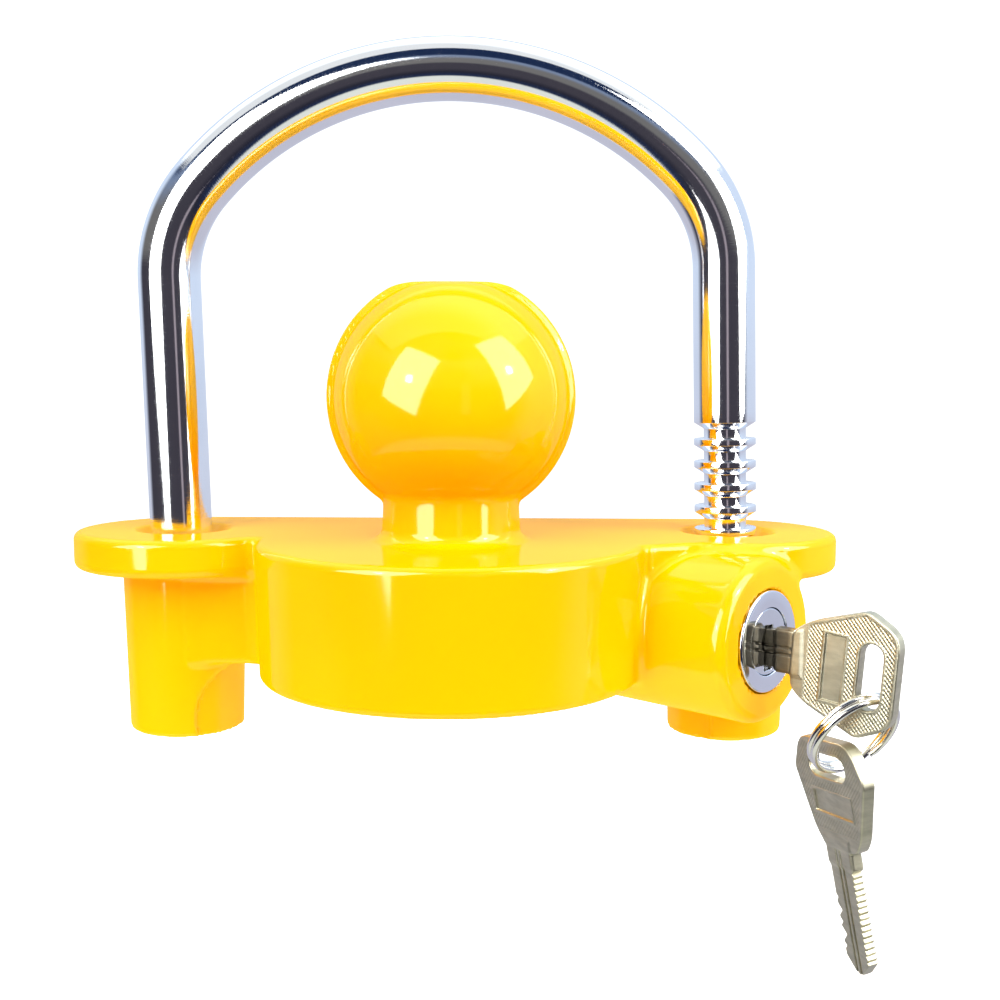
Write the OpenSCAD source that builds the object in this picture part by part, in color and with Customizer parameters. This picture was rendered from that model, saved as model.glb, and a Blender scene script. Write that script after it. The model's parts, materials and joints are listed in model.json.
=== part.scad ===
// Trailer coupler lock: a ball on a winged casting, a ratchet shackle and a wafer lock with its keys.
// Millimetres, +Z up. The origin is the centre of the ball, X runs across the wings, -Y is the front.

/* [Ball] */
// Diameter of the locking ball over its parting band
ball_d = 46; // [44:0.5:50]
// Diameter of the flat on top of the ball
ball_flat_d = 18; // [10:1:24]
// How far the parting band stands off the ball
band_rise = 1.3; // [0.5:0.1:1.8]
// Width of the parting band
band_w = 3.6; // [2:0.2:6]
// Diameter of the neck under the ball
neck_d = 25.4; // [22:0.2:28]
// Diameter of the neck where it meets the deck
neck_foot_d = 28.8; // [26:0.2:32]

/* [Casting] */
// Height of the ball's centre above the flat deck
ball_h = 26.4; // [24:0.2:32]
// Diameter of the round middle at the deck
drum_d = 72.4; // [68:0.4:78]
// Diameter of the round middle at its lower edge
drum_foot_d = 71.2; // [66:0.4:72]
// Height of the round middle
drum_h = 25; // [22:0.2:30]
// Distance from the ball's centre back to the flat rear side
rear_y = 35.9; // [34:0.1:36]
// Radius of the two wing lobes
lobe_r = 20.9; // [18:0.1:22]
// Thickness of the wing plates
wing_t = 7.1; // [5:0.1:8]
// Rounding of the casting's edges
edge_r = 1.4; // [0.8:0.1:2]
// Diameter of the leg bosses at the wing
boss_d = 25; // [22:0.2:26]
// Diameter of the leg bosses at their lower end
boss_foot_d = 23; // [21:0.2:24]
// Height of the leg bosses below the deck
boss_h = 39.6; // [36:0.4:44]
// Depth of the relief on the inner side of each boss
relief_depth = 0.8; // [0.4:0.1:1]
// Wall around the hollow underside
cup_wall = 5.6; // [5:0.2:7]
// Thickness of the ribs in the hollow underside
rib_t = 4; // [3:0.5:6]

/* [Shackle] */
// Diameter of the shackle rod
rod_d = 12; // [11.8:0.1:12.2]
// Distance between the two leg axes
leg_span = 108; // [107.4:0.2:108.6]
// Distance of the leg axes behind the ball's centre
leg_y = 15; // [14:0.5:15]
// Height of the rod's axis at the top of the arch, above the ball's centre
apex_z = 62.5; // [56:0.5:70]
// Bend radius of the top arch, on the rod's axis
arch_r = 63.8; // [60:0.2:70]
// Bend radius of the two shoulders, on the rod's axis
shoulder_r = 27; // [20:1:34]
// Sideways lean of the shackle in its bores, degrees
lean = 1.5; // [0:0.1:1.6]
// How far the legs reach below the deck
leg_reach = 26; // [25:0.5:30]
// Distance from one ratchet ring to the next
ring_pitch = 4.4; // [4.2:0.1:4.6]
// Height of a ring's full-diameter land
ring_land = 1.25; // [1:0.05:1.4]
// Height of the cone under a ring's land
ring_cone = 1.2; // [1:0.1:1.3]
// Diameter at the root of the ratchet grooves
root_d = 8.2; // [8:0.1:8.6]
// Number of ratchet grooves
groove_count = 10; // [10:1:10]
// Diameter of the leg bores
leg_bore_d = 13.8; // [13.7:0.1:14]
// Diameter of the countersink around each leg bore
sink_d = 18.4; // [17:0.2:20]

/* [Lock] */
// Place of the middle of the lock's face
lock_at = [57.2, -12, -43];
// Turn of the lock axis from straight ahead towards +X, degrees
lock_turn = 48; // [46:1:50]
// Diameter of the lock housing
housing_d = 30; // [28:0.5:30]
// Rounding of the housing's front edge
housing_edge_r = 2; // [2:0.2:4]
// Diameter of the lock's chrome face
face_d = 18.5; // [18:0.1:19]
// Thickness of the lock's chrome face
face_t = 1.6; // [1.2:0.1:1.8]
// Diameter of the lock's barrel
barrel_d = 15.5; // [15.3:0.1:15.6]
// Length of the lock's barrel
barrel_l = 15.6; // [15.4:0.1:15.8]
// Diameter of the turning plug
plug_d = 12.2; // [12:0.1:12.3]
// Length of the turning plug
plug_l = 17.9; // [17.8:0.1:18]
// Number of wafers
wafer_count = 5; // [5:1:5]
// Distance from one wafer to the next
wafer_pitch = 2.2; // [2.1:0.1:2.3]
// Thickness of a wafer
wafer_t = 0.8; // [0.7:0.05:0.9]
// How far the springs lift the wafers once the key is out
wafer_lift = 0.4; // [0.3:0.05:0.45]
// How far the dog moves to reach the shackle's grooves
dog_travel = 2.6; // [2.6:0.1:2.6]
// Diameter of the round dog
dog_d = 6; // [5.8:0.1:6]

/* [Keys] */
// Thickness of a key's bow
bow_t = 2.4; // [2:0.1:2.6]
// Thickness of a key's blade
blade_t = 2; // [1.8:0.1:2]
// Height of a key's blade
blade_h = 7; // [6.6:0.1:7]
// Length of the blade from the bow's neck to its tip
blade_l = 23.5; // [23.2:0.1:23.6]
// Gap between the lock's face and the bow's neck with the key in
bow_gap = 6.2; // [5.7:0.1:6.5]
// Cant of the inserted key's bow against its blade, degrees
bow_cant = 4.5; // [0:0.5:5]
// Mean diameter of the key ring
ring_d = 16.4; // [16:0.1:16.8]
// Diameter of the key ring's wire
wire_d = 1.24; // [1:0.02:1.3]

/* [Hidden] */
$fn = 96;
cut = 1;                                  // how far a cutting body runs past the face it cuts
deck_z = -ball_h;
drum_foot_z = deck_z - drum_h;
boss_foot_z = deck_z - boss_h;
leg_x = leg_span / 2;
rod_r = rod_d / 2;
boss_x = leg_x - 0.5;                     // the bosses stand a little inside the bores' axes
cup_r = drum_foot_d / 2 - cup_wall;
cup_roof_z = deck_z - cup_wall;
hub_r = neck_d / 2;
web_front_y = 3;                          // front of the walls that join the bosses to the drum
web_back_y = 27;
web_half_w = 8;
web_x = 39;
shelf_x = -1;                             // the wing plates run inwards to here and meet behind the ball
arch_relief_at = [38, -62.5];             // X and Z of the axis of the relief's round outline
arch_relief_r = 11.7;
lean_pivot_z = -44;                       // where the leaning legs cross the bores' axes

// The shoulder turns the rod inwards until it runs into the top arch.
shoulder_turn = acos((leg_x - shoulder_r) / (arch_r - shoulder_r));
arch_z = apex_z - arch_r;
shoulder_z = arch_z + (arch_r - shoulder_r) * sin(shoulder_turn);
leg_tip_z = deck_z - leg_reach;
leg_chamfer = 1.4;
seam_w = 0.2;
seam_rise = 0.03;
first_land_z = -9.5;                      // top of the highest ratchet ring's land

// Lock frame: +Z out of the face, +Y up, +X towards the shackle leg.
housing_l = 34;
lock_bore_l = 26.4;
lock_bore_gap = 0.1;
face_proud = 0.3;                         // the face stands this far out of the housing
plug_gap = 0.05;
shell_back = -barrel_l;
first_wafer_z = -4.2;
wafer_half_w = 2.35;
wafer_slot_gap = 0.05;
window_half_w = 1.3;
blade_y = -1;                             // the keyway lies below the plug's axis
window_gap = 0.25;
arm_reach = 4.2;
arm_y = [1.9, 2.9];
arm_room = 0.2;
spring_x = 3.4;
spring_foot_y = -2.4;
spring_r = 0.6;
spring_inner_r = 0.36;
broach_half_w = 2.6;
broach_r = 6.95;
clip_groove_r = 5.2;
clip_r = 6.9;
clip_t = 0.7;
clip_mouth = 4.4;
clip_z = shell_back - 1;
cam_t = 1;
cam_r = 4.6;
cam_z = -plug_l - 0.1 - cam_t;
stub_half_w = 1.35;
pin_r = 1.1;
pin_l = 2.3;
dog_z = -22.5;                            // the dog lies just behind the leg's axis
dog_y = 0.7;
dog_rear_x = -8.4;
dog_front_x = 8.4;
dog_nose_x = 11;
nose_y = [0.1, 1.45];                     // flat underside and top edge of the nose's tip
nose_half_w = 1.9;
slot_gap = 0.15;
slot_slack = 1.15;
dog_bore_r = dog_d / 2 + 0.05;
dog_bore_rear_x = -13.2;
dog_bore_front_x = 34;
spring_hole_r = 2.2;
spring_hole_l = 3;
dog_spring_r = 1.9;
dog_spring_inner_r = 1.4;
cover_x = [26.6, 29.2];                   // the steel plug that closes the dog's cross bore
retainer_r = 1.25;
retainer_gap = 0.02;
retainer_at = [barrel_d / 2, -9];        // X and Z of the retaining pin in the lock frame
retainer_y = [-12, 3];

// The key's bow, from its neck outwards: distance along the key and half its height there.
bow_half = [[-0.75, 4.9], [1.5, 7.05], [12.5, 11.1], [17.5, 8.6], [18.8, 6.6]];
bow_drop = -2;
bow_slot_at = 14;
bow_slot_r = 2.15;
bow_slot_half_h = 5.75;
label_at = 7.2;
label_w = 3.8;
label_h = 11.8;
label_depth = 0.25;
collar_h = 8.4;
collar_l = 4;
tip_l = 2.6;
notch_depth = [0.5, 1.1, 0.7, 1.3, 0.6];
rib_groove_w = 1.5;
rib_groove_depth = 0.55;

// The ring hangs in the inserted key's slot, and the spare key hangs in the ring.
ring_at = [70.39, -21.5, -57];
ring_turn = [0, 59.4, 116.9];
spare_at = [69.89, -20.4, -77.1];
spare_turn = [-7.1, -8.6, 19.1];

function wafer_z(i) = first_wafer_z - i * wafer_pitch;
function wafer_side(i) = i % 2 == 0 ? 1 : -1;

WAFERS = [for (i = [1 : wafer_count]) str("wafer_", i)];
WAFER_SPRINGS = [for (i = [1 : wafer_count]) str("wafer_spring_", i)];

yellow = [1, 0.83, 0.05];
chrome = [0.86, 0.88, 0.92];
nickel = [0.78, 0.75, 0.66];
steel = [0.62, 0.64, 0.67];
brass = [0.83, 0.68, 0.34];

// ---------- placing ----------

module in_lock_frame() {
    translate(lock_at) rotate([90, 0, lock_turn]) children();
}

// A body that is given along X in the lock frame.
module along_lock_x(x0, x1, r, z) {
    translate([x0, dog_y, z]) rotate([0, 90, 0]) cylinder(r = r, h = x1 - x0);
}

module both_sides() {
    children();
    mirror([1, 0, 0]) children();
}

// A round plate whose upper edge is rounded, and its lower edge too when both is true.
module rounded_plate(r, h, e, both) {
    low = both ? e : 0;
    rotate_extrude() {
        square([r - e, h]);
        translate([0, low]) square([r, h - e - low]);
        translate([r - e, h - e]) circle(e, $fn = 48);
        if (both) translate([r - e, e]) circle(e, $fn = 48);
    }
}

// ---------- the casting ----------

module ball_and_neck() {
    ball_r = ball_d / 2;
    ball_flat_z = sqrt(ball_r * ball_r - ball_flat_d * ball_flat_d / 4);
    translate([0, 0, deck_z - cut]) cylinder(d = neck_d, h = ball_h);
    translate([0, 0, deck_z]) cylinder(d1 = neck_foot_d, d2 = neck_d, h = 4);
    intersection() {
        union() {
            sphere(ball_r - band_rise, $fn = 128);
            rotate([90, 0, 0]) cylinder(r = ball_r, h = band_w, center = true, $fn = 128);
        }
        translate([-ball_d, -ball_d, -ball_d]) cube([2 * ball_d, 2 * ball_d, ball_d + ball_flat_z]);
    }
}

module drum() {
    intersection() {
        union() {
            translate([0, 0, drum_foot_z]) cylinder(d1 = drum_foot_d, d2 = drum_d, h = drum_h - 2 * edge_r);
            translate([0, 0, deck_z - 2 * edge_r]) rounded_plate(drum_d / 2, 2 * edge_r, edge_r, false);
        }
        translate([-drum_d, rear_y - 2 * drum_d, drum_foot_z - cut])
            cube([2 * drum_d, 2 * drum_d, drum_h + 2 * cut]);
    }
}

module wing() {
    translate([leg_x, leg_y, deck_z - wing_t]) rounded_plate(lobe_r, wing_t, edge_r, true);
    translate([shelf_x, leg_y, deck_z - wing_t]) cube([leg_x - shelf_x, rear_y - leg_y, wing_t]);
    translate([web_x - web_half_w, web_front_y, drum_foot_z])
        cube([2 * web_half_w, web_back_y - web_front_y, drum_h]);
}

module boss() {
    difference() {
        translate([boss_x, leg_y, boss_foot_z]) {
            cylinder(d1 = boss_foot_d, d2 = boss_d, h = boss_h - cut);
        }
        intersection() {
            translate([arch_relief_at[0], 0, arch_relief_at[1]])
                rotate([-90, 0, 0]) cylinder(r = arch_relief_r, h = rear_y);
            translate([boss_x, leg_y, boss_foot_z - cut]) difference() {
                cylinder(r = lobe_r, h = boss_h / 2);
                translate([0, 0, -cut]) cylinder(r = boss_foot_d / 2 - relief_depth, h = boss_h);
            }
        }
    }
}

module lock_housing() {
    in_lock_frame() translate([0, 0, -housing_l])
        rounded_plate(housing_d / 2, housing_l, housing_edge_r, false);
    // the shoulder between the drum and the wing carries the deck over the housing
    translate([0, 0, deck_z - housing_d / 2]) linear_extrude(housing_d / 2)
        polygon([[34, -8], [36.6, -7.4], [45.4, -4.2], [50, 8], [34, 8]]);
}

module underside_hollow() {
    difference() {
        translate([0, 0, drum_foot_z - cut]) cylinder(r = cup_r, h = cup_roof_z - drum_foot_z + cut);
        translate([0, 0, drum_foot_z - 2 * cut]) {
            cylinder(r = hub_r, h = drum_h);
            for (a = [45, 135]) rotate([0, 0, a])
                translate([-cup_r - cut, -rib_t / 2, 0]) cube([2 * (cup_r + cut), rib_t, drum_h]);
        }
    }
}

module leg_bore() {
    sink_h = (sink_d - leg_bore_d) / 2;
    translate([leg_x, leg_y, boss_foot_z - cut]) cylinder(d = leg_bore_d, h = boss_h + 2 * cut);
    translate([leg_x, leg_y, deck_z - sink_h])
        cylinder(d1 = leg_bore_d, d2 = sink_d + 2 * cut, h = sink_h + cut);
}

module lock_cavities() {
    in_lock_frame() {
        translate([0, 0, -lock_bore_l]) cylinder(d = barrel_d + 2 * lock_bore_gap, h = lock_bore_l + cut);
        translate([0, 0, face_proud - face_t]) cylinder(d = face_d + 2 * lock_bore_gap, h = face_t + cut);
        along_lock_x(dog_bore_rear_x, dog_bore_front_x, dog_bore_r, dog_z);
        retaining_pin_shape(retainer_r + retainer_gap, cut);
    }
}

module lock_body() {
    color(yellow) difference() {
        union() {
            ball_and_neck();
            drum();
            both_sides() {
                wing();
                boss();
            }
            lock_housing();
        }
        underside_hollow();
        both_sides() leg_bore();
        lock_cavities();
    }
}

// ---------- the shackle ----------

// Outline of the ratchet leg, from the top of the highest groove down to the tip.
function ring_outline() = [
    for (i = [0 : groove_count - 1])
        let (land = first_land_z - i * ring_pitch, root_top = land + ring_pitch - ring_land - ring_cone)
        each [[rod_r, root_top + ring_cone], [root_d / 2, root_top], [root_d / 2, land], [rod_r, land]]
];

module ratchet_leg() {
    translate([leg_x, 0, 0]) rotate_extrude() polygon(concat(
        [[0, leg_tip_z], [0, shoulder_z - seam_w], [rod_r, shoulder_z - seam_w]],
        ring_outline(),
        [[rod_r, leg_tip_z + leg_chamfer], [rod_r - leg_chamfer, leg_tip_z]]
    ));
}

module plain_leg() {
    translate([-leg_x, 0, leg_tip_z]) {
        cylinder(r1 = rod_r - leg_chamfer, r2 = rod_r, h = leg_chamfer);
        translate([0, 0, leg_chamfer]) cylinder(r = rod_r, h = shoulder_z - seam_w - leg_tip_z - leg_chamfer);
    }
}

// A bent stretch of rod in the plane of the legs, from angle a0 to a1 above +X. A seam's width is
// left open at both ends, where the next stretch begins.
module rod_bend(x, z, r, a0, a1) {
    seam = asin(seam_w / r);
    translate([x, 0, z]) rotate([90, 0, 0]) rotate([0, 0, a0 + seam])
        rotate_extrude(angle = a1 - a0 - 2 * seam) translate([r, 0]) circle(rod_r, $fn = 64);
}

// The upset where two stretches of rod meet.
module rod_seam(x, z) {
    translate([x, 0, z]) sphere(rod_r + seam_rise, $fn = 64);
}

module shackle() {
    color(chrome) translate([0, leg_y, lean_pivot_z]) rotate([0, -lean, 0]) translate([0, 0, -lean_pivot_z]) {
        ratchet_leg();
        plain_leg();
        rod_bend(leg_x - shoulder_r, shoulder_z, shoulder_r, 0, shoulder_turn);
        rod_bend(shoulder_r - leg_x, shoulder_z, shoulder_r, 180 - shoulder_turn, 180);
        rod_bend(0, arch_z, arch_r, shoulder_turn, 180 - shoulder_turn);
        for (s = [-1, 1]) {
            rod_seam(s * leg_x, shoulder_z);
            rod_seam(s * arch_r * cos(shoulder_turn), arch_z + arch_r * sin(shoulder_turn));
        }
    }
}

// ---------- the wafer lock ----------

module retaining_pin_shape(r, extra) {
    translate([retainer_at[0], retainer_y[0] - 3 * extra, retainer_at[1]])
        rotate([-90, 0, 0]) cylinder(r = r, h = retainer_y[1] - retainer_y[0] + 4 * extra, $fn = 32);
}

module lock_shell() {
    color(chrome) in_lock_frame() difference() {
        union() {
            translate([0, 0, shell_back]) cylinder(d = barrel_d, h = barrel_l);
            translate([0, 0, face_proud - face_t]) cylinder(d = face_d, h = face_t - 0.3);
            translate([0, 0, face_proud - 0.3]) cylinder(d1 = face_d, d2 = face_d - 0.6, h = 0.3);
        }
        translate([0, 0, shell_back - cut]) cylinder(r = plug_d / 2 + plug_gap, h = barrel_l + 2 * cut);
        for (a = [0, 90]) rotate([0, 0, a])
            translate([-broach_half_w, -broach_r, shell_back - cut])
                cube([2 * broach_half_w, 2 * broach_r, barrel_l + cut - face_t]);
        retaining_pin_shape(retainer_r + retainer_gap, cut);
    }
}

module keyway(extra) {
    translate([-blade_t / 2 - extra, blade_y - blade_h / 2 - extra, -plug_l - cut])
        cube([blade_t + 2 * extra, blade_h + 2 * extra, plug_l + 2 * cut]);
}

// The pocket that one wafer, its arm and its spring take up in the plug.
module wafer_pocket(i) {
    side = wafer_side(i);
    half_t = wafer_t / 2 + wafer_slot_gap;
    translate([-wafer_half_w - wafer_slot_gap, -plug_d, wafer_z(i) - half_t])
        cube([2 * (wafer_half_w + wafer_slot_gap), 2 * plug_d, 2 * half_t]);
    translate([side > 0 ? 0 : -arm_reach - arm_room, arm_y[0] - arm_room, wafer_z(i) - half_t])
        cube([arm_reach + arm_room, arm_y[1] - arm_y[0] + wafer_lift + 2 * arm_room, 2 * half_t]);
    translate([side * spring_x, spring_foot_y, wafer_z(i)])
        rotate([-90, 0, 0]) cylinder(r = spring_r + 0.1, h = arm_y[0] - spring_foot_y, $fn = 24);
}

module lock_plug() {
    color(steel) in_lock_frame() difference() {
        union() {
            translate([0, 0, -plug_l]) cylinder(d = plug_d, h = plug_l + 0.1);
            translate([-stub_half_w, -stub_half_w, cam_z - 0.1])
                cube([2 * stub_half_w, 2 * stub_half_w, cam_t + 0.3]);
        }
        difference() {
            translate([0, 0, clip_z - clip_t - 0.1]) cylinder(d = plug_d + cut, h = clip_t + 0.2);
            translate([0, 0, clip_z - clip_t - cut]) cylinder(r = clip_groove_r, h = clip_t + 2 * cut);
        }
        intersection() {
            keyway(0.15);
            translate([-plug_d, -plug_d, -plug_l + 0.3]) cube([2 * plug_d, 2 * plug_d, plug_l + cut]);
        }
        for (i = [0 : wafer_count - 1]) wafer_pocket(i);
    }
}

module plug_clip() {
    color(steel) in_lock_frame() translate([0, 0, clip_z - clip_t]) difference() {
        cylinder(r = clip_r, h = clip_t);
        translate([0, 0, -cut]) cylinder(r = clip_groove_r + 0.05, h = clip_t + 2 * cut);
        translate([-clip_mouth / 2, -2 * clip_r, -cut]) cube([clip_mouth, 2 * clip_r, clip_t + 2 * cut]);
    }
}

module lock_cam() {
    color(steel) in_lock_frame() translate([0, 0, cam_z]) difference() {
        cylinder(r = cam_r, h = cam_t);
        translate([-stub_half_w - 0.03, -stub_half_w - 0.03, -cut])
            cube([2 * (stub_half_w + 0.03), 2 * (stub_half_w + 0.03), cam_t + 2 * cut]);
        translate([0, dog_travel, -cut]) cylinder(r = pin_r, h = cam_t + 2 * cut, $fn = 32);
    }
}

module cam_pin() {
    color(steel) in_lock_frame() translate([0, dog_travel, cam_z - pin_l])
        cylinder(r = pin_r, h = pin_l + cam_t, $fn = 32);
}

module wafer(i) {
    side = wafer_side(i);
    color(brass) in_lock_frame() translate([0, 0, wafer_z(i) - wafer_t / 2]) difference() {
        union() {
            intersection() {
                cylinder(r = plug_d / 2 - 0.1, h = wafer_t);
                translate([-wafer_half_w, -plug_d, -cut]) cube([2 * wafer_half_w, 2 * plug_d, wafer_t + 2 * cut]);
            }
            translate([side > 0 ? wafer_half_w - 0.5 : -arm_reach, arm_y[0], 0])
                cube([arm_reach - wafer_half_w + 0.5, arm_y[1] - arm_y[0], wafer_t]);
        }
        translate([-window_half_w, blade_y - blade_h / 2 - window_gap, -cut])
            cube([2 * window_half_w, blade_h + 2 * window_gap, wafer_t + 2 * cut]);
    }
}

module wafer_spring(i) {
    color(steel) in_lock_frame() translate([wafer_side(i) * spring_x, spring_foot_y, wafer_z(i)])
        rotate([-90, 0, 0]) difference() {
            cylinder(r = spring_r, h = arm_y[0] - spring_foot_y, $fn = 24);
            translate([0, 0, -cut]) cylinder(r = spring_inner_r, h = 2 * plug_d, $fn = 24);
        }
}

module lock_dog() {
    pull_x = -pin_r - slot_gap;
    color(steel) in_lock_frame() difference() {
        union() {
            along_lock_x(dog_rear_x, dog_front_x, dog_d / 2, dog_z);
            intersection() {
                along_lock_x(dog_front_x - cut, dog_nose_x, dog_d / 2, dog_z);
                translate([0, 0, dog_z - nose_half_w]) linear_extrude(2 * nose_half_w) polygon([
                    [dog_front_x - cut, nose_y[0]],
                    [dog_nose_x, nose_y[0]],
                    [dog_nose_x, nose_y[1]],
                    [dog_front_x, nose_y[1] + ring_cone / (rod_r - root_d / 2) * (dog_nose_x - dog_front_x)],
                    [dog_front_x - cut, dog_y + dog_d]
                ]);
            }
        }
        translate([pull_x, -dog_d, cam_z - pin_l - slot_gap])
            cube([2 * pin_r + slot_gap + slot_slack, 2 * dog_d + dog_y, dog_d]);
        along_lock_x(dog_rear_x - cut, dog_rear_x + spring_hole_l, spring_hole_r, dog_z);
    }
}

module dog_spring() {
    color(steel) in_lock_frame() difference() {
        along_lock_x(dog_bore_rear_x, dog_rear_x + spring_hole_l, dog_spring_r, dog_z);
        along_lock_x(dog_bore_rear_x - cut, dog_front_x, dog_spring_inner_r, dog_z);
    }
}

module dog_bore_cover() {
    color(steel) in_lock_frame() along_lock_x(cover_x[0], cover_x[1], dog_bore_r - 0.02, dog_z);
}

module shell_retaining_pin() {
    color(steel) in_lock_frame() retaining_pin_shape(retainer_r, 0);
}

// ---------- the keys ----------

// Draws a flat outline, given along the key and across it, as a plate of thickness t.
module key_plate(t) {
    rotate([0, -90, 0]) linear_extrude(t, center = true) children();
}

module bow_outline() {
    lower = [for (i = [len(bow_half) - 1 : -1 : 0]) [bow_half[i][0], -bow_half[i][1]]];
    difference() {
        polygon(concat(bow_half, lower));
        for (s = [-1, 1]) translate([bow_slot_at, s * (bow_slot_half_h - bow_slot_r)])
            circle(bow_slot_r, $fn = 48);
        translate([bow_slot_at - bow_slot_r, bow_slot_r - bow_slot_half_h])
            square([2 * bow_slot_r, 2 * (bow_slot_half_h - bow_slot_r)]);
    }
}

module bow() {
    difference() {
        key_plate(bow_t) bow_outline();
        for (s = [-1, 1]) translate([s * bow_t / 2, 0, 0]) key_plate(2 * label_depth)
            translate([label_at - label_w / 2, -label_h / 2]) square([label_w, label_h]);
    }
}

// The blade lies below the key's axis by -blade_y, with its cuts at the wafers of the inserted key.
module blade() {
    half_h = blade_h / 2;
    difference() {
        key_plate(blade_t) translate([0, blade_y]) polygon([
            [0, half_h],
            [-blade_l + tip_l, half_h],
            [-blade_l, 0.8],
            [-blade_l, -0.8],
            [-blade_l + tip_l, -half_h],
            [0, -half_h]
        ]);
        for (s = [-1, 1]) translate([s * blade_t / 2, 0, 0]) key_plate(2 * rib_groove_depth)
            translate([-blade_l - cut, blade_y - rib_groove_w / 2]) square([blade_l - 1, rib_groove_w]);
        key_plate(2 * blade_t) for (i = [0 : wafer_count - 1], s = [-1, 1])
            translate([wafer_z(i) - bow_gap, blade_y + s * half_h]) rotate([0, 0, 45])
                square(notch_depth[i] * sqrt(2), center = true);
    }
    key_plate(blade_t) translate([-collar_l, blade_y - collar_h / 2]) square([collar_l + cut, collar_h]);
}

// A key with its neck at the origin: the bow points along +Z and the blade along -Z.
module key_blank(cant) {
    blade();
    translate([0, bow_drop, 0]) rotate([cant, 0, 0]) bow();
}

module key() {
    color(nickel) in_lock_frame() translate([0, 0, bow_gap]) key_blank(bow_cant);
}

module key_ring() {
    coil_step = wire_d - 0.04;
    color(chrome) translate(ring_at) rotate(ring_turn) for (s = [-1, 1])
        translate([0, 0, s * coil_step / 2]) rotate_extrude() translate([ring_d / 2, 0])
            circle(d = wire_d, $fn = 24);
}

module spare_key() {
    color(nickel) translate(spare_at) rotate(spare_turn) translate([0, -bow_drop, 0]) key_blank(0);
}

lock_body();
shackle();
lock_shell();
lock_plug();
plug_clip();
lock_cam();
cam_pin();
for (i = [0 : wafer_count - 1]) {
    wafer(i);
    wafer_spring(i);
}
lock_dog();
dog_spring();
dog_bore_cover();
shell_retaining_pin();
key();
key_ring();
spare_key();
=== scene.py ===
import json
import math

import bpy
import numpy as np
from mathutils import Matrix, Vector


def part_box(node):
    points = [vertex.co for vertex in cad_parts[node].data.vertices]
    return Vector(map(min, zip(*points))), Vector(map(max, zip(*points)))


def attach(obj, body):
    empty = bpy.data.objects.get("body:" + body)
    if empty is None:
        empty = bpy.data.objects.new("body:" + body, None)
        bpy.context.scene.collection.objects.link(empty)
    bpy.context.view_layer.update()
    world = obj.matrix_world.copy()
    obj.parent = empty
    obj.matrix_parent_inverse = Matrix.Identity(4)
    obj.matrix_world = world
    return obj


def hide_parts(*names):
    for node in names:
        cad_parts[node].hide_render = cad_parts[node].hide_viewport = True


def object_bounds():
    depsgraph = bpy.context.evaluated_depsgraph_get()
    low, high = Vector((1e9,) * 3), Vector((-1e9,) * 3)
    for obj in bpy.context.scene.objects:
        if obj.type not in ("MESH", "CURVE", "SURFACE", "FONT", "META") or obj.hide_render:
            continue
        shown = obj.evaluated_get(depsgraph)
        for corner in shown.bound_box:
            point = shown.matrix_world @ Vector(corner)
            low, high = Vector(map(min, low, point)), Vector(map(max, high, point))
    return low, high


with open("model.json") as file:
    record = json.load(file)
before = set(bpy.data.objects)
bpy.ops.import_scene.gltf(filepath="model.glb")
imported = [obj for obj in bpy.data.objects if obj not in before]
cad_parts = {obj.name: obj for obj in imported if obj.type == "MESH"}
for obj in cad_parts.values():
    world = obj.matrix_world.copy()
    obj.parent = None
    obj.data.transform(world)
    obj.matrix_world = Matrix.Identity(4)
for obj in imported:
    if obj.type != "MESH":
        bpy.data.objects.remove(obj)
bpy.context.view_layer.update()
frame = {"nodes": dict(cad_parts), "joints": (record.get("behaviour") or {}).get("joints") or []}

MM = 0.001


# ---------- shapes as distance fields, in millimetres ----------

def join(a, b, r):
    """Union of two fields with a fillet of radius r."""
    u, v = np.maximum(r - a, 0), np.maximum(r - b, 0)
    return np.maximum(r, np.minimum(a, b)) - np.sqrt(u * u + v * v)


def cut(a, b, r):
    """What a and b share, with the edge between them rounded to radius r."""
    return -join(-a, -b, r)


def polygon_field(points, x, y):
    """Signed distance to a flat closed outline."""
    d = np.full(x.shape, 1e9)
    inside = np.zeros(x.shape, bool)
    for (ax, ay), (bx, by) in zip(points, points[1:] + points[:1]):
        ex, ey = bx - ax, by - ay
        wx, wy = x - ax, y - ay
        t = np.clip((wx * ex + wy * ey) / (ex * ex + ey * ey), 0, 1)
        d = np.minimum(d, (wx - ex * t) ** 2 + (wy - ey * t) ** 2)
        crosses = (ay > y) != (by > y)
        side = wx < ex * (wy / (ey if ey else 1e-9))
        inside ^= crosses & side
    d = np.sqrt(d)
    return np.where(inside, -d, d)


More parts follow.
